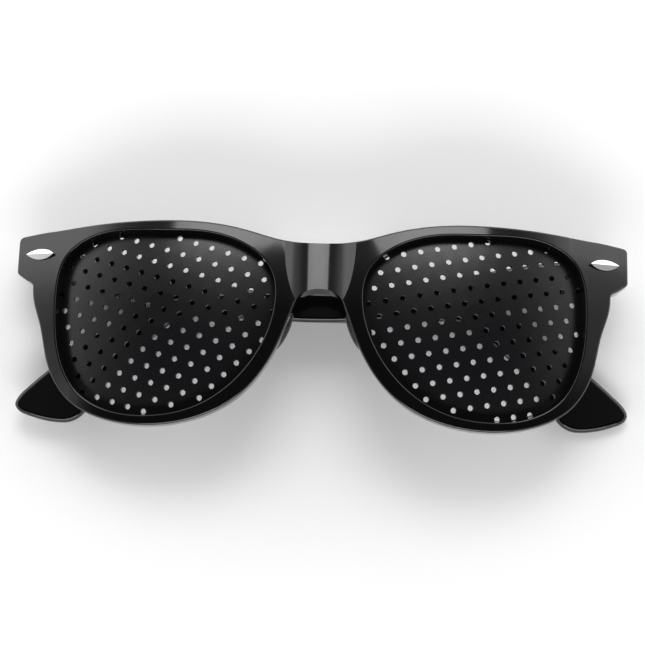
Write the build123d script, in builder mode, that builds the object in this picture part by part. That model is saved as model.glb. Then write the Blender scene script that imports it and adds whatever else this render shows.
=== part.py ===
from build123d import *
import math
import os

# Pinhole glasses, folded, lying on their back with the front facing up.
# Millimetres and degrees. The row origin is on the table, under the middle.
# The front has its own frame: x to the wearer's left, y to the brow, z forward.
# Left and right are the wearer's. The right temple lies flat on the table.

# Lenses: spherical sheets with a hexagonal field of small holes
LENS_WIDTH = 52.6
LENS_HEIGHT = 43.2
LENS_GAP = 20.4
LENS_LOW = 3.0
LENS_RADIUS = 82.0
LENS_THICKNESS = 1.0
LENS_WRAP = 7.3
HOLE_DIAMETER = 1.3
HOLE_PITCH = 3.95
HOLE_EDGE = 0.15
# Turn of each grid and its shift across and up
GRIDS = {"left": (9.8, -0.27, -0.16), "right": (-16.3, 0.41, 0.16)}

# Rims: the lens sits in a groove, behind a drafted opening
LENS_DEPTH = 3.0
BACK_LIP = 1.0
OPENING_DRAFT = 10.0
LENS_BITE = 0.3
SEAT_GAP = 0.05
RIM_WIDTH = 4.1
# Opening and rim, from the outer side over the brow: place as shares of the
# half lens width and height, rim width as a share of RIM_WIDTH
RIM_SHARES = [
    (0.987, 0.0, 0.82),
    (0.990, 0.371, 1.33),
    (0.908, 0.745, 1.26),
    (0.657, 0.954, 0.67),
    (0.302, 1.009, 0.53),
    (-0.029, 1.0, 0.63),
    (-0.378, 0.986, 0.60),
    (-0.715, 0.871, 0.84),
    (-0.957, 0.619, 1.0),
    (-1.007, 0.216, 0.99),
    (-0.893, -0.231, 0.78),
    (-0.610, -0.669, 0.79),
    (-0.273, -0.913, 0.62),
    (0.115, -1.0, 0.52),
    (0.487, -0.950, 0.46),
    (0.782, -0.744, 0.57),
    (0.944, -0.374, 0.66),
]
BROW_RIM = (7, 6, 5, 4, 3)
LOWER_RIM = (1, 0, 16, 15, 14, 13, 12, 11, 10, 9)
TOP_INDEX = 5
BOTTOM_INDEX = 13
FRONT_FILLET = 0.5
BACK_FILLET = 0.7
OPENING_FILLET = 0.35

# End pieces, measured down from the lens tops and in from the front's ends
END_LENGTH = 9.35
END_DROP = 0.5
END_HEIGHT = 8.9
END_FLAT = 14.15
END_THICKNESS = 4.8
END_CORNER = 1.2
NOTCH_IN = 2.7
NOTCH_DOWN = 1.8
BROW_IN = 9.2
BROW_RISE = 1.2
BROW_FALL = 0.17
NOTCH_FALL = 0.5
HINGE_BLOCK = 12.0
HINGE_BLOCK_LOW = 13.6
HINGE_BLOCK_THICK = 5.5
HINGE_BLOCK_TIP = 0.6

# Bridge: a smooth saddle with a hollow face, over a leaning nose arch
BRIDGE_DROP = 1.75
SHOULDER_DROP = 1.55
SHOULDER_IN = 1.4
RECESS_RADIUS = 14.0
RECESS_LEAN = 11.6
RECESS_Y = 6.3
RECESS_FLOOR = -0.55
ARCH_TOP = 5.85
ARCH_IN = 5.0
ARCH_RISE = 2.85
ARCH_LEAN = 13.0
# The arch's outline as shares of its half width and rise
ARCH_SHARES = [(0.79, 0.40), (0.48, 0.81)]
PAD_LENGTH = 14.0
PAD_RADIUS = 2.6
PAD_IN = 0.9
PAD_Y = -2.5
PAD_Z = -4.6
PAD_TURN = 21.0

# Hinges: three knuckles on a screw, each leaf let into its seat
PIN_IN = 5.35
PIN_DROP = 1.6
HINGE_DROP = 7.3
KNUCKLE_RADIUS = 1.5
KNUCKLE_HEIGHT = 2.3
KNUCKLE_GAP = 0.1
KNUCKLE_ROOM = 0.3
KNUCKLE_COUNT = 3
LEAF_THICKNESS = 1.1
LEAF_WEB = 1.6
FRONT_LEAF_LENGTH = 8.0
FRONT_LEAF_PAST = 3.4
SCREW_RADIUS = 0.7
SCREW_FIT = 0.05
SCREW_HEAD_RADIUS = 1.3
SCREW_HEAD = 0.6
SCREW_TAIL = 0.3
SLOT_WIDTH = 0.4
SLOT_DEPTH = 0.3

# Shields on the end pieces, each with two studs through to the hinge leaf
SHIELD_IN = 5.8
SHIELD_DROP = 5.0
SHIELD_LENGTH = 7.4
SHIELD_HEIGHT = 2.6
SHIELD_RIDGE = 0.75
SHIELD_EDGE = 0.3
SHIELD_SUNK = 0.4
STUD_RADIUS = 0.6
STUD_SPACING = 3.4

# Temples: flat outside, thinner along the inside, bent down behind the ear
TEMPLE_REACH = 140.0
TEMPLE_SPAN = 41.0
TEMPLE_OUTSIDE = 5.5
TEMPLE_INSIDE = 1.2
TEMPLE_THINNING = 1.3
THINNING_START = 12.0
THINNING_END = 24.0
BUTT_GAP = 0.3
BUTT_UP = 4.9
BUTT_DOWN = 4.6
TEMPLE_FILLET = 1.1
TEMPLE_LEAF_START = 1.9
TEMPLE_LEAF_LENGTH = 7.8
TEMPLE_LEAF_PROUD = 0.2
TEMPLE_RIVET_RADIUS = 0.65
TEMPLE_RIVET_SPACING = 3.6
TEMPLE_RIVET_HEAD = 1.0
TEMPLE_RIVET_RISE = 0.3
# Side view from the top of the butt round the tip to its bottom, along the
# reach and above the hinge line, as shares of TEMPLE_REACH and TEMPLE_SPAN
TEMPLE_SHARES = [
    (0.145, 0.080),
    (0.215, 0.033),
    (0.285, -0.030),
    (0.345, -0.079),
    (0.400, -0.095),
    (0.500, -0.093),
    (0.600, -0.098),
    (0.700, -0.129),
    (0.790, -0.205),
    (0.859, -0.354),
    (0.941, -0.571),
    (0.980, -0.690),
    (0.995, -0.749),
    (0.998, -0.783),
    (0.992, -0.820),
    (0.978, -0.844),
    (0.951, -0.871),
    (0.927, -0.883),
    (0.905, -0.880),
    (0.880, -0.827),
    (0.866, -0.737),
    (0.835, -0.598),
    (0.800, -0.476),
    (0.760, -0.356),
    (0.720, -0.261),
    (0.660, -0.249),
    (0.560, -0.263),
    (0.464, -0.266),
    (0.350, -0.237),
    (0.250, -0.198),
    (0.150, -0.150),
    (0.057, -0.117),
]
TIP_INDEX = 13
# How far each temple's tip stands further out and higher than drawn
TIP_PLAY = {"left": (-0.7, -0.45), "right": (0.7, 0.45)}

# Rest: the left temple lies on the right one, parallel to the table
LAY_GAP = 0.35

OVERRUN = 6.0
FACE_SWEEP = 60.0
FACING_SHARE = 0.6
LONG_SHARE = 0.25

os.makedirs("parts", exist_ok=True)

SIDES = {"left": 1, "right": -1}

lens_middle_x = (LENS_WIDTH + LENS_GAP) / 2
front_end = lens_middle_x + LENS_WIDTH / 2 + END_LENGTH
lens_top = LENS_HEIGHT / 2 - LENS_LOW
end_top = lens_top - END_DROP
end_bottom = end_top - END_HEIGHT
pin_x = front_end - PIN_IN
hinge_y = lens_top - HINGE_DROP

half_wrap = math.radians(LENS_WRAP)
sphere_x = lens_middle_x - LENS_RADIUS * math.sin(half_wrap)
sphere_z = -LENS_RADIUS * math.cos(half_wrap)
face_radius = LENS_RADIUS + LENS_DEPTH
back_radius = LENS_RADIUS - LENS_THICKNESS - BACK_LIP
flat_x = front_end - END_FLAT
flat_fall = math.asin((flat_x - sphere_x) / face_radius)
end_radius = face_radius * math.cos(flat_fall) - END_FLAT * math.tan(flat_fall)
end_depth = END_THICKNESS - sphere_z - end_radius
pin_z = -end_depth - PIN_DROP

# The box over the table reaches from the front's right end to the right tip
layer = TEMPLE_OUTSIDE - TEMPLE_INSIDE - TEMPLE_THINNING + LAY_GAP
rest_tilt = math.asin(layer / (2 * pin_x))
right_pin = -pin_x * math.cos(rest_tilt) - pin_z * math.sin(rest_tilt)
right_tip = right_pin + TEMPLE_SHARES[TIP_INDEX][0] * TEMPLE_REACH + TIP_PLAY["right"][0]
right_end = -front_end * math.cos(rest_tilt) + (end_depth - END_THICKNESS) * math.sin(rest_tilt)
box_middle = (right_tip + right_end) / 2
rim_top = RIM_SHARES[TOP_INDEX][1] * LENS_HEIGHT / 2 + RIM_SHARES[TOP_INDEX][2] * RIM_WIDTH
rim_bottom = LENS_HEIGHT / 2 + RIM_SHARES[BOTTOM_INDEX][2] * RIM_WIDTH
front_middle = LENS_LOW + (rim_bottom - rim_top) / 2
front_rise = TEMPLE_OUTSIDE - pin_z * math.cos(rest_tilt) + layer / 2
front = Plane(
    origin=(-box_middle, front_middle, front_rise),
    x_dir=(math.cos(rest_tilt), 0, math.sin(rest_tilt)),
    z_dir=(-math.sin(rest_tilt), 0, math.cos(rest_tilt)),
)

bridge_half = LENS_GAP / 2 - SHOULDER_IN
arch_half = LENS_GAP / 2 - ARCH_IN
arch_side = ARCH_TOP - ARCH_RISE
pad_x = LENS_GAP / 2 - PAD_IN
hinge_height = KNUCKLE_COUNT * KNUCKLE_HEIGHT
hinge_bottom = hinge_y - hinge_height / 2
hinge_top = hinge_y + hinge_height / 2
leaf_x = pin_x + FRONT_LEAF_PAST - FRONT_LEAF_LENGTH / 2
leaf_inner = TEMPLE_INSIDE - TEMPLE_LEAF_PROUD
screw_room = hinge_height + SCREW_TAIL + SCREW_HEAD + 2 * KNUCKLE_ROOM
web_room = leaf_inner + LEAF_THICKNESS / 2 + KNUCKLE_ROOM
butt = BUTT_GAP - PIN_DROP
shield_x = front_end - SHIELD_IN
shield_y = lens_top - SHIELD_DROP
rivet_middle = TEMPLE_LEAF_START + TEMPLE_LEAF_LENGTH / 2
rivet_places = [
    (rivet_middle - TEMPLE_RIVET_SPACING / 2, 0),
    (rivet_middle + TEMPLE_RIVET_SPACING / 2, 0),
]


def spot(x, y, z):
    """A point of the front's own frame, in the row frame."""
    return front.from_local_coords(Vector(x, y, z))


half_sweep = math.radians(FACE_SWEEP / 2)
section = Plane(
    origin=spot(0, 0, sphere_z),
    x_dir=front.x_dir,
    z_dir=front.z_dir * math.sin(half_sweep) - front.y_dir * math.cos(half_sweep),
)


def lens_plane(side):
    """The plane that touches the lens at its middle."""
    return Plane(
        origin=spot(side * lens_middle_x, 0, 0),
        x_dir=front.x_dir * math.cos(half_wrap) - front.z_dir * (side * math.sin(half_wrap)),
        z_dir=front.x_dir * (side * math.sin(half_wrap)) + front.z_dir * math.cos(half_wrap),
    )


def opening_points(grow, side=1):
    """Points of the lens opening, moved outward by grow, about the lens middle."""
    places = [
        Vector(u * LENS_WIDTH / 2, v * LENS_HEIGHT / 2 - LENS_LOW) for u, v, _ in RIM_SHARES
    ]
    moved = []
    for i, place in enumerate(places):
        along = places[(i + 1) % len(places)] - places[i - 1]
        outward = Vector(along.Y, -along.X).normalized()
        grown = place + outward * grow
        moved.append((side * grown.X, grown.Y))
    return moved


def rim_point(index):
    """A point of the right rim's outer edge, in the front's own frame."""
    width = RIM_WIDTH * RIM_SHARES[index][2]
    x, y = opening_points(width)[index]
    return (lens_middle_x + x, y)


def slope_at(x, radius):
    """Angle of a face circle's slope at x."""
    return math.asin((sphere_x - x) / radius)


def face_line(radius):
    """Right half of a face in plan: saddle arc, lens arc and straight end."""
    rise = slope_at(bridge_half, radius)
    fall = -slope_at(flat_x, radius)
    saddle_radius = bridge_half / math.sin(rise)
    start = radius * math.cos(rise) - saddle_radius * (1 - math.cos(rise))
    saddle = JernArc((0, start), (1, 0), saddle_radius, math.degrees(rise))
    bow = JernArc(saddle @ 1, saddle % 1, radius, -math.degrees(rise + fall))
    straight = Line(bow @ 1, (bow @ 1) + (bow % 1) * (END_FLAT + OVERRUN))
    return straight @ 1


def end_face_z(x, y):
    """Height of the front face on an end piece."""
    plan_radius = face_radius * math.cos(flat_fall) - (x - flat_x) * math.tan(flat_fall)
    return sphere_z + math.sqrt(plan_radius**2 - y**2)


def outer_edges(faces):
    """Edges that only one of the faces has."""
    found = [edge for face in faces for edge in face.edges()]
    return ShapeList(
        edge for edge in found if sum(edge.is_same(other) for other in found) == 1
    )


def facing(shape, direction):
    """Faces whose middle looks along a direction."""
    return ShapeList(
        face for face in shape.faces() if face.normal_at().dot(direction) > FACING_SHARE
    )


def opening_area(grow, side, height):
    """The lens opening, grown, at a height over the lens plane."""
    with BuildSketch(lens_plane(side).offset(height)) as area:
        with BuildLine():
            Spline(*opening_points(grow, side), periodic=True)
        make_face()
    return area.sketch


def lens_sheet(side, grow, gap):
    """The lens outline, grown, between its two spheres with a gap on each."""
    sheet = lens_plane(side)
    middle = Plane(
        origin=sheet.offset(-LENS_RADIUS).origin, x_dir=-sheet.z_dir, z_dir=front.y_dir
    )
    with BuildPart() as blank:
        add(opening_area(grow, side, -LENS_DEPTH - OVERRUN))
        extrude(amount=LENS_DEPTH + OVERRUN)
        with Locations(middle):
            Sphere(LENS_RADIUS + gap, mode=Mode.INTERSECT)
            Sphere(LENS_RADIUS - LENS_THICKNESS - gap, mode=Mode.SUBTRACT)
    return blank.part


def hole_places(name):
    """Middles of a lens's holes: a hexagonal grid kept inside the opening."""
    side = SIDES[name]
    turn, shift_x, shift_y = GRIDS[name]
    room = opening_points(LENS_BITE - HOLE_DIAMETER / 2 - HOLE_EDGE, side)
    with BuildSketch() as inside:
        with BuildLine():
            Spline(*room, periodic=True)
        make_face()
    reach = math.ceil(LENS_WIDTH / HOLE_PITCH)
    along = Vector(HOLE_PITCH, 0).rotate(Axis.Z, turn)
    across = Vector(HOLE_PITCH, 0).rotate(Axis.Z, turn - 60)
    places = [
        Vector(shift_x, shift_y) + along * i + across * j
        for i in range(-reach, reach + 1)
        for j in range(-reach, reach + 1)
    ]
    return [place for place in places if inside.face().is_inside(place)]


def shield_shape():
    """The pointed outline of a shield, about its middle."""
    sagitta = SHIELD_HEIGHT / 2
    with BuildSketch() as shape:
        with BuildLine():
            SagittaArc((-SHIELD_LENGTH / 2, 0), (SHIELD_LENGTH / 2, 0), sagitta)
            SagittaArc((-SHIELD_LENGTH / 2, 0), (SHIELD_LENGTH / 2, 0), -sagitta)
        make_face()
    return shape.sketch


def stud_places(side):
    """Middles of a shield's two studs, in the front's own frame."""
    half = STUD_SPACING / 2
    return [(side * (shield_x - half), shield_y), (side * (shield_x + half), shield_y)]


def pin_plane(side, y):
    """A plane square to the hinge pin: x across, y backward."""
    return Plane(origin=spot(side * pin_x, y, pin_z), x_dir=front.x_dir, z_dir=front.y_dir)


def shield_plane(side):
    """The plane that touches an end piece under the middle of its shield."""
    face_z = end_face_z(shield_x, shield_y)
    lean = math.asin(shield_y / math.hypot(shield_y, face_z - sphere_z))
    across = front.x_dir * math.cos(flat_fall) - front.z_dir * (side * math.sin(flat_fall))
    forward = front.x_dir * (side * math.sin(flat_fall)) + front.z_dir * math.cos(flat_fall)
    return Plane(
        origin=spot(side * shield_x, shield_y, face_z),
        x_dir=across,
        z_dir=forward * math.cos(lean) + front.y_dir * math.sin(lean),
    )


def temple_frame(side):
    """A temple's own plane at its pin: x to the tip, y to the brow."""
    reach = Vector(-side, 0, 0)
    return Plane(
        origin=spot(side * pin_x, hinge_y, pin_z), x_dir=reach, z_dir=reach.cross(front.y_dir)
    )


# Front frame: both rims, the bridge, the end pieces and the nose pads
lens_seats = [lens_sheet(side, LENS_BITE + SEAT_GAP, SEAT_GAP) for side in SIDES.values()]
with BuildPart() as front_frame:
    with BuildSketch(section):
        with BuildLine():
            face_end = face_line(face_radius)
            back_end = face_line(back_radius)
            Line(face_end, back_end)
            mirror(about=Plane.YZ)
        make_face()
    revolve(axis=Axis(section.origin, section.x_dir), revolution_arc=FACE_SWEEP)
    for side in SIDES.values():
        with BuildSketch(Plane(spot(0, end_top, 0), front.x_dir, -front.y_dir)):
            Polygon(
                (side * front_end, -end_depth),
                (side * front_end, HINGE_BLOCK_TIP - end_depth),
                (side * (front_end - HINGE_BLOCK), HINGE_BLOCK_THICK - end_depth),
                (side * (front_end - HINGE_BLOCK), -end_depth),
                align=None,
            )
        extrude(amount=HINGE_BLOCK_LOW - END_DROP)
    for height in (-end_depth, OVERRUN):
        arch_rise = ARCH_RISE + height * math.tan(math.radians(ARCH_LEAN))
        with BuildSketch(front.offset(height)):
            with BuildLine():
                corner = (front_end, end_top)
                Spline(
                    (0, lens_top - BRIDGE_DROP),
                    (bridge_half, lens_top - SHOULDER_DROP),
                    *[rim_point(i) for i in BROW_RIM],
                    (front_end - BROW_IN, end_top + BROW_RISE),
                    corner,
                    tangents=[(1, 0), (1, -BROW_FALL)],
                )
                end_side = Line(corner, (front_end, end_bottom))
                Spline(
                    end_side @ 1,
                    (front_end - NOTCH_IN, end_bottom - NOTCH_DOWN),
                    rim_point(LOWER_RIM[0]),
                    tangents=[(-1, -NOTCH_FALL), (0, -1)],
                )
                Spline(
                    *[rim_point(i) for i in LOWER_RIM],
                    (arch_half, arch_side),
                    *[(arch_half * u, arch_side + arch_rise * v) for u, v in ARCH_SHARES],
                    (0, arch_side + arch_rise),
                    tangents=[(0, -1), (-1, 0)],
                )
                mirror(about=Plane.YZ)
            make_face()
            corners = vertices().group_by(Axis.X)
            fillet(corners[0] + corners[-1], radius=END_CORNER)
    loft(ruled=True, mode=Mode.INTERSECT)
    fillet(outer_edges(facing(front_frame, front.z_dir)), radius=FRONT_FILLET)
    back_edges = outer_edges(facing(front_frame, -front.z_dir)).sort_by(SortBy.LENGTH)
    fillet(back_edges[-4:], radius=BACK_FILLET)
    draft = math.tan(math.radians(OPENING_DRAFT))
    for side in SIDES.values():
        add(opening_area(-end_depth * draft, side, -end_depth))
        add(opening_area(OVERRUN * draft, side, OVERRUN))
        loft(ruled=True, mode=Mode.SUBTRACT)
    for side in SIDES.values():
        middle = lens_plane(side).origin
        walls = faces().filter_by(GeomType.BSPLINE)
        walls = walls.filter_by(
            lambda face: (face.center(CenterOf.MASS) - middle).length < LENS_HEIGHT / 2
        )
        front_faces = facing(front_frame, front.z_dir)
        rim_edges = ShapeList(
            edge
            for edge in walls.edges()
            if any(edge.is_same(other) for other in front_faces.edges())
        )
        fillet(rim_edges, radius=OPENING_FILLET)
    recess_lean = math.radians(RECESS_LEAN)
    with BuildSketch(
        Plane(
            origin=spot(0, RECESS_Y, RECESS_FLOOR + RECESS_RADIUS / math.cos(recess_lean)),
            x_dir=front.x_dir,
            z_dir=front.y_dir * math.cos(recess_lean) - front.z_dir * math.sin(recess_lean),
        )
    ):
        Circle(RECESS_RADIUS)
    extrude(amount=LENS_HEIGHT, both=True, mode=Mode.SUBTRACT)
    for side in SIDES.values():
        pad_turn = math.radians(side * PAD_TURN)
        with BuildSketch(
            Plane(
                origin=spot(side * pad_x, PAD_Y, PAD_Z),
                x_dir=front.y_dir * math.cos(pad_turn) - front.x_dir * math.sin(pad_turn),
                z_dir=front.z_dir,
            )
        ):
            Ellipse(PAD_LENGTH / 2, PAD_RADIUS)
            Rectangle(PAD_LENGTH, PAD_RADIUS, align=(Align.CENTER, Align.MIN), mode=Mode.INTERSECT)
        pad_axis = Axis(
            spot(side * pad_x, PAD_Y, PAD_Z),
            front.y_dir * math.cos(pad_turn) - front.x_dir * math.sin(pad_turn),
        )
        revolve(axis=pad_axis)
    for seat in lens_seats:
        add(seat, mode=Mode.SUBTRACT)
    for side in SIDES.values():
        with BuildSketch(front.offset(-end_depth)):
            with Locations((side * leaf_x, hinge_y)):
                Rectangle(FRONT_LEAF_LENGTH + 2 * SEAT_GAP, hinge_height + 2 * SEAT_GAP)
        extrude(amount=LEAF_THICKNESS, mode=Mode.SUBTRACT)
        with BuildSketch(shield_plane(side).offset(-SHIELD_SUNK)):
            add(shield_shape())
        extrude(amount=SHIELD_RIDGE + SHIELD_SUNK, mode=Mode.SUBTRACT)
        with BuildSketch(front.offset(-end_depth)):
            with Locations(*stud_places(side)):
                Circle(STUD_RADIUS)
        extrude(amount=end_depth, mode=Mode.SUBTRACT)
front_frame.part.label = "front_frame"
export_step(front_frame.part, "parts/front_frame.step")

# Lenses: thin domed sheets, every hole square to the sheet's middle
for name, side in SIDES.items():
    blank = lens_sheet(side, LENS_BITE, 0)
    with BuildPart() as lens:
        add(blank)
        with BuildSketch(lens_plane(side).offset(-LENS_DEPTH - OVERRUN)):
            with Locations(*hole_places(name)):
                Circle(HOLE_DIAMETER / 2)
        extrude(amount=LENS_DEPTH + 2 * OVERRUN, mode=Mode.SUBTRACT)
    lens.part.label = f"lens_{name}"
    export_step(lens.part, f"parts/lens_{name}.step")

# Shields: pointed ridged plates, each with two studs through to the hinge leaf
for name, side in SIDES.items():
    with BuildPart() as shield:
        base = shield_plane(side)
        with BuildSketch(base.offset(-SHIELD_SUNK)):
            add(shield_shape())
        extrude(amount=SHIELD_SUNK + SHIELD_RIDGE)
        with BuildSketch(Plane(base.origin, x_dir=base.y_dir, z_dir=base.x_dir)):
            half = SHIELD_HEIGHT / 2
            Polygon(
                (-half, -SHIELD_SUNK),
                (-half, SHIELD_EDGE),
                (0, SHIELD_RIDGE),
                (half, SHIELD_EDGE),
                (half, -SHIELD_SUNK),
                align=None,
            )
        extrude(amount=SHIELD_LENGTH, both=True, mode=Mode.INTERSECT)
        with BuildSketch(front.offset(-end_depth)):
            with Locations(*stud_places(side)):
                Circle(STUD_RADIUS)
        extrude(until=Until.NEXT, target=shield.part)
    shield.part.label = f"shield_{name}"
    export_step(shield.part, f"parts/shield_{name}.step")

# Front hinge leaves: a plate let into the end piece and two outer knuckles
for name, side in SIDES.items():
    with BuildPart() as front_leaf:
        with BuildSketch(front.offset(-end_depth)):
            with Locations((side * leaf_x, hinge_y)):
                Rectangle(FRONT_LEAF_LENGTH, hinge_height)
            with Locations(*stud_places(side)):
                Circle(STUD_RADIUS, mode=Mode.SUBTRACT)
        extrude(amount=LEAF_THICKNESS)
        for index in (0, KNUCKLE_COUNT - 1):
            with BuildSketch(pin_plane(side, hinge_bottom + index * KNUCKLE_HEIGHT)):
                Circle(KNUCKLE_RADIUS)
                Rectangle(LEAF_WEB, PIN_DROP, align=(Align.CENTER, Align.MAX))
            extrude(amount=KNUCKLE_HEIGHT)
        with BuildSketch(pin_plane(side, hinge_bottom)):
            Circle(SCREW_RADIUS + SCREW_FIT)
        extrude(amount=hinge_height, mode=Mode.SUBTRACT)
    front_leaf.part.label = f"front_leaf_{name}"
    export_step(front_leaf.part, f"parts/front_leaf_{name}.step")

# Hinge screws: a slotted head over the top knuckle and a short tail below
for name, side in SIDES.items():
    with BuildPart() as screw:
        with BuildSketch(pin_plane(side, hinge_bottom - SCREW_TAIL)):
            Circle(SCREW_RADIUS)
        extrude(amount=hinge_height + SCREW_TAIL)
        with BuildSketch(pin_plane(side, hinge_top)):
            Circle(SCREW_HEAD_RADIUS)
        extrude(amount=SCREW_HEAD)
        with BuildSketch(pin_plane(side, hinge_top + SCREW_HEAD)):
            Rectangle(2 * SCREW_HEAD_RADIUS, SLOT_WIDTH)
        extrude(amount=-SLOT_DEPTH, mode=Mode.SUBTRACT)
    screw.part.label = f"hinge_screw_{name}"
    export_step(screw.part, f"parts/hinge_screw_{name}.step")

# Temple hinge leaves: a plate let into the temple and the middle knuckle
for name, side in SIDES.items():
    plane = temple_frame(side)
    with BuildPart() as temple_leaf:
        with BuildSketch(plane.offset(side * leaf_inner)):
            with Locations((TEMPLE_LEAF_START, 0)):
                Rectangle(
                    TEMPLE_LEAF_LENGTH, hinge_height, align=(Align.MIN, Align.CENTER)
                )
        extrude(amount=side * LEAF_THICKNESS)
        with BuildSketch(plane.offset(side * leaf_inner)):
            Rectangle(
                TEMPLE_LEAF_START + LEAF_WEB,
                KNUCKLE_HEIGHT - 2 * KNUCKLE_GAP,
                align=(Align.MIN, Align.CENTER),
            )
        extrude(amount=side * LEAF_THICKNESS / 2)
        with BuildSketch(pin_plane(side, hinge_y - KNUCKLE_HEIGHT / 2 + KNUCKLE_GAP)):
            Circle(KNUCKLE_RADIUS)
        extrude(amount=KNUCKLE_HEIGHT - 2 * KNUCKLE_GAP)
        with BuildSketch(pin_plane(side, hinge_bottom)):
            Circle(SCREW_RADIUS + SCREW_FIT)
        extrude(amount=hinge_height, mode=Mode.SUBTRACT)
        with BuildSketch(plane):
            with Locations(*rivet_places):
                Circle(TEMPLE_RIVET_RADIUS)
        extrude(amount=side * TEMPLE_OUTSIDE, mode=Mode.SUBTRACT)
    temple_leaf.part.label = f"temple_leaf_{name}"
    export_step(temple_leaf.part, f"parts/temple_leaf_{name}.step")

# Temple rivets: two pins with low heads on the leaf, flush with the outer face
for name, side in SIDES.items():
    plane = temple_frame(side)
    with BuildPart() as rivets:
        with BuildSketch(plane.offset(side * leaf_inner)):
            with Locations(*rivet_places):
                Circle(TEMPLE_RIVET_RADIUS)
        extrude(amount=side * (TEMPLE_OUTSIDE - leaf_inner))
        with BuildSketch(plane.offset(side * leaf_inner)):
            with Locations(*rivet_places):
                Circle(TEMPLE_RIVET_HEAD)
        extrude(amount=-side * TEMPLE_RIVET_RISE)
    rivets.part.label = f"temple_rivets_{name}"
    export_step(rivets.part, f"parts/temple_rivets_{name}.step")

# Temples: a flat outer face, a hollowed inner face and a hook behind the ear
for name, side in SIDES.items():
    plane = temple_frame(side)
    play_out, play_up = TIP_PLAY[name]
    outline = [
        (u * TEMPLE_REACH + u * play_out, v * TEMPLE_SPAN + u * play_up) for u, v in TEMPLE_SHARES
    ]
    with BuildPart() as temple:
        with BuildSketch(plane.offset(side * TEMPLE_INSIDE)):
            with BuildLine():
                Line((butt, -BUTT_DOWN), (butt, BUTT_UP))
                Spline(
                    (butt, BUTT_UP),
                    *outline,
                    (butt, -BUTT_DOWN),
                    tangents=[(1, 0), (-1, 0)],
                )
            make_face()
        extrude(amount=side * (TEMPLE_OUTSIDE - TEMPLE_INSIDE))
        thin = -side * (TEMPLE_INSIDE + TEMPLE_THINNING)
        with BuildSketch(Plane(origin=plane.origin, x_dir=plane.x_dir, z_dir=front.y_dir)):
            with BuildLine():
                Polyline(
                    (THINNING_END, thin),
                    (TEMPLE_REACH + OVERRUN, thin),
                    (TEMPLE_REACH + OVERRUN, 0),
                    (THINNING_START, 0),
                    (THINNING_START, -side * TEMPLE_INSIDE),
                )
                Spline(
                    (THINNING_START, -side * TEMPLE_INSIDE),
                    (THINNING_END, thin),
                    tangents=[(1, 0), (1, 0)],
                )
            make_face()
        extrude(amount=2 * TEMPLE_SPAN, both=True, mode=Mode.SUBTRACT)
        long_edges = [
            edge for edge in edges() if edge.bounding_box().size.X > TEMPLE_REACH * LONG_SHARE
        ]
        fillet(long_edges, radius=TEMPLE_FILLET)
        with BuildSketch(pin_plane(side, hinge_bottom - KNUCKLE_ROOM - SCREW_TAIL)):
            Circle(KNUCKLE_RADIUS + KNUCKLE_ROOM)
        extrude(amount=screw_room, mode=Mode.SUBTRACT)
        with BuildSketch(plane.offset(side * leaf_inner)):
            with Locations((TEMPLE_LEAF_START - SEAT_GAP - KNUCKLE_ROOM, 0)):
                Rectangle(
                    TEMPLE_LEAF_LENGTH + 2 * SEAT_GAP + KNUCKLE_ROOM,
                    hinge_height + 2 * SEAT_GAP,
                    align=(Align.MIN, Align.CENTER),
                )
        extrude(amount=side * LEAF_THICKNESS, mode=Mode.SUBTRACT)
        with BuildSketch(plane):
            Rectangle(2 * TEMPLE_LEAF_START, KNUCKLE_HEIGHT)
        extrude(amount=side * web_room, mode=Mode.SUBTRACT)
        with BuildSketch(plane):
            with Locations(*rivet_places):
                Circle(TEMPLE_RIVET_RADIUS)
        extrude(amount=side * (TEMPLE_OUTSIDE + OVERRUN), mode=Mode.SUBTRACT)
    temple.part.label = f"temple_{name}"
    export_step(temple.part, f"parts/temple_{name}.step")
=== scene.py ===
import math

import bpy
from mathutils import Matrix, Vector

# Metres, watts and degrees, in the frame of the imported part.

# Camera: straight above its aim, then turned about Y, X and its own axis
VIEW_YAW = -0.68
VIEW_PITCH = -8.11
VIEW_ROLL = -1.47
VIEW_DISTANCE = 0.5
VIEW_AIM = Vector((-0.001045, 0.002775, 0.02186))
VIEW_LENS = 120.54
VIEW_SHIFT = (0.0058, -0.0147)
VIEW_NEAR = 0.01

# Stage
FLOOR_SIZE = 6.0
FLOOR_COLOUR = (0.93, 0.925, 0.935)
FLOOR_ROUGHNESS = 0.9

# World: rows of (part of the direction, value), joined smoothly. The light is a
# ring by height, plus BROW along Y times ACROSS, plus SIDE across times SIDE_FALL
WHITE = (1.0, 1.0, 1.0)
RING = [(0.48, 1.4), (0.6, 0.0)]
BROW = [(-0.25, 0.01), (0.0, 0.03), (0.15, 0.06), (0.3, 0.25), (0.5, 0.7)]
ACROSS = [(0.0, 1.6), (0.14, 1.5), (0.24, 0.5), (0.42, 0.4), (0.6, 1.0)]
SIDE = [(0.52, 0.0), (0.72, 0.5)]
SIDE_FALL = [(-0.35, 0.03), (0.0, 1.0)]

# Lamps: place, size across and along, power
LAMP_AIM = Vector((0.0, 0.0, 0.01))
LAMPS = {
    "brow_light": (Vector((0.0, 0.92, 1.05)), (0.9, 0.5), 6.8),
    "low_light": (Vector((0.0, -1.0, 0.75)), (1.2, 0.35), 6.6),
}

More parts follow.
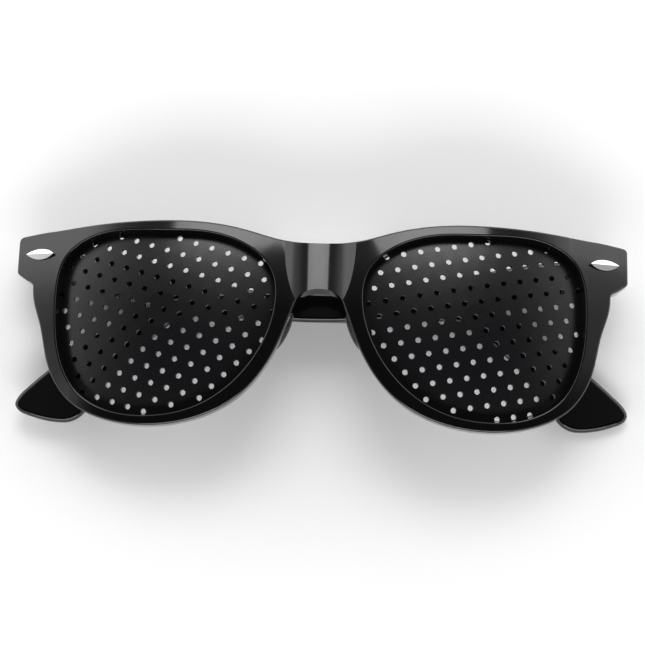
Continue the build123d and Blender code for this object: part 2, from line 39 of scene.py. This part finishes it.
# Finishes: wear is how far the roughness varies, grain the strength of the bump
GRAIN_DETAIL = 4.0
GRAIN_FLATNESS = 10
FINISHES = {
    "black_plastic": {
        "colour": (0.003, 0.003, 0.0034),
        "metallic": 0.0,
        "roughness": 0.1,
        "wear": 0.02,
        "grain": 0.02,
        "grain_size": 0.004,
    },
    "lens_sheet": {
        "colour": (0.0035, 0.0033, 0.0042),
        "metallic": 0.0,
        "roughness": 0.28,
        "wear": 0.04,
        "grain": 0.05,
        "grain_size": 0.0004,
    },
    "chrome": {
        "colour": (0.82, 0.83, 0.85),
        "metallic": 1.0,
        "roughness": 0.12,
        "wear": 0.03,
        "grain": 0.02,
        "grain_size": 0.0006,
    },
    "steel": {
        "colour": (0.5, 0.5, 0.52),
        "metallic": 1.0,
        "roughness": 0.32,
        "wear": 0.06,
        "grain": 0.05,
        "grain_size": 0.0003,
    },
}
HINGE_PIECES = ["front_leaf", "temple_leaf", "hinge_screw", "temple_rivets"]
WEARERS = {
    "black_plastic": ["front_frame", "temple_left", "temple_right"],
    "lens_sheet": ["lens_left", "lens_right"],
    "chrome": ["shield_left", "shield_right"],
    "steel": [f"{piece}_{side}" for side in ("left", "right") for piece in HINGE_PIECES],
}

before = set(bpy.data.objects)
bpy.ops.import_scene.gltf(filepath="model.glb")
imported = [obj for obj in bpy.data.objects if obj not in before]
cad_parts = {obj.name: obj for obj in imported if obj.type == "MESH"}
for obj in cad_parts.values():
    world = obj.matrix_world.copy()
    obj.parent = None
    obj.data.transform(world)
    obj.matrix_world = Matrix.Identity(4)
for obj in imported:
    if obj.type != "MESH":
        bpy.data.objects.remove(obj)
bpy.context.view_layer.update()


def plain_material(name, colour, roughness):
    """A Principled material in one colour, with its shader."""
    made = bpy.data.materials.new(name)
    made.use_nodes = True
    shader = made.node_tree.nodes["Principled BSDF"]
    shader.inputs["Base Color"].default_value = (*colour, 1.0)
    shader.inputs["Roughness"].default_value = roughness
    return made, shader


def worn_material(name, colour, metallic, roughness, wear, grain, grain_size):
    """A Principled material whose roughness and surface vary finely."""
    made, shader = plain_material(name, colour, roughness)
    nodes = made.node_tree.nodes
    links = made.node_tree.links
    shader.inputs["Metallic"].default_value = metallic
    place = nodes.new("ShaderNodeTexCoord")
    speckle = nodes.new("ShaderNodeTexNoise")
    speckle.inputs["Scale"].default_value = 1.0 / grain_size
    speckle.inputs["Detail"].default_value = GRAIN_DETAIL
    links.new(place.outputs["Object"], speckle.inputs["Vector"])
    spread = nodes.new("ShaderNodeMapRange")
    spread.inputs["To Min"].default_value = roughness - wear
    spread.inputs["To Max"].default_value = roughness + wear
    links.new(speckle.outputs["Fac"], spread.inputs["Value"])
    links.new(spread.outputs["Result"], shader.inputs["Roughness"])
    bump = nodes.new("ShaderNodeBump")
    bump.inputs["Strength"].default_value = grain
    bump.inputs["Distance"].default_value = grain_size / GRAIN_FLATNESS
    links.new(speckle.outputs["Fac"], bump.inputs["Height"])
    links.new(bump.outputs["Normal"], shader.inputs["Normal"])
    return made


# The CAD nodes wear these in place of their packed materials
for finish, values in FINISHES.items():
    made = worn_material(finish, **values)
    for piece in WEARERS[finish]:
        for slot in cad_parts[piece].material_slots:
            slot.material = made

# Floor
bpy.ops.mesh.primitive_plane_add(size=FLOOR_SIZE)
floor = bpy.context.object
floor.name = "floor"
paint, _ = plain_material("floor_paint", FLOOR_COLOUR, FLOOR_ROUGHNESS)
floor.data.materials.append(paint)

# World
world = bpy.data.worlds.new("studio")
bpy.context.scene.world = world
world.use_nodes = True
sky_nodes = world.node_tree.nodes
sky_links = world.node_tree.links


def combine(operation, first, second=None):
    """The output of a maths node on one or two sockets."""
    step = sky_nodes.new("ShaderNodeMath")
    step.operation = operation
    sky_links.new(first, step.inputs[0])
    if second is not None:
        sky_links.new(second, step.inputs[1])
    return step.outputs["Value"]


def graded(source, rows):
    """A value that follows the rows smoothly as the source socket changes."""
    total = None
    for (start, low), (end, high) in zip(rows, rows[1:]):
        piece = sky_nodes.new("ShaderNodeMapRange")
        piece.interpolation_type = "SMOOTHSTEP"
        piece.inputs["From Min"].default_value = start
        piece.inputs["From Max"].default_value = end
        piece.inputs["To Min"].default_value = low if total is None else 0.0
        piece.inputs["To Max"].default_value = high if total is None else high - low
        sky_links.new(source, piece.inputs["Value"])
        result = piece.outputs["Result"]
        total = result if total is None else combine("ADD", total, result)
    return total


direction = sky_nodes.new("ShaderNodeTexCoord")
split = sky_nodes.new("ShaderNodeSeparateXYZ")
sky_links.new(direction.outputs["Generated"], split.inputs["Vector"])
along, height = split.outputs["Y"], split.outputs["Z"]
across = combine("ABSOLUTE", split.outputs["X"])
brow_glow = combine("MULTIPLY", graded(along, BROW), graded(across, ACROSS))
side_glow = combine("MULTIPLY", graded(across, SIDE), graded(along, SIDE_FALL))
both_glows = combine("ADD", brow_glow, side_glow)
sky = sky_nodes["Background"]
sky.inputs["Color"].default_value = (*WHITE, 1.0)
sky_links.new(combine("ADD", both_glows, graded(height, RING)), sky.inputs["Strength"])

# Lamps
for name, (spot, size, power) in LAMPS.items():
    light = bpy.data.lights.new(name, "AREA")
    light.shape = "RECTANGLE"
    light.size, light.size_y = size
    light.energy = power
    lamp = bpy.data.objects.new(name, light)
    bpy.context.scene.collection.objects.link(lamp)
    lamp.location = spot
    lamp.rotation_euler = (LAMP_AIM - spot).to_track_quat("-Z", "Y").to_euler()

# Camera
turn = (
    Matrix.Rotation(math.radians(-VIEW_YAW), 4, "Y")
    @ Matrix.Rotation(math.radians(-VIEW_PITCH), 4, "X")
    @ Matrix.Rotation(math.radians(-VIEW_ROLL), 4, "Z")
)
optics = bpy.data.cameras.new("camera")
optics.lens = VIEW_LENS
optics.shift_x, optics.shift_y = VIEW_SHIFT
optics.clip_start = VIEW_NEAR
camera = bpy.data.objects.new("camera", optics)
bpy.context.scene.collection.objects.link(camera)
camera.matrix_world = (
    Matrix.Translation(VIEW_AIM) @ turn @ Matrix.Translation((0, 0, VIEW_DISTANCE))
)
bpy.context.scene.camera = camera
bpy.context.scene.view_settings.view_transform = "Standard"
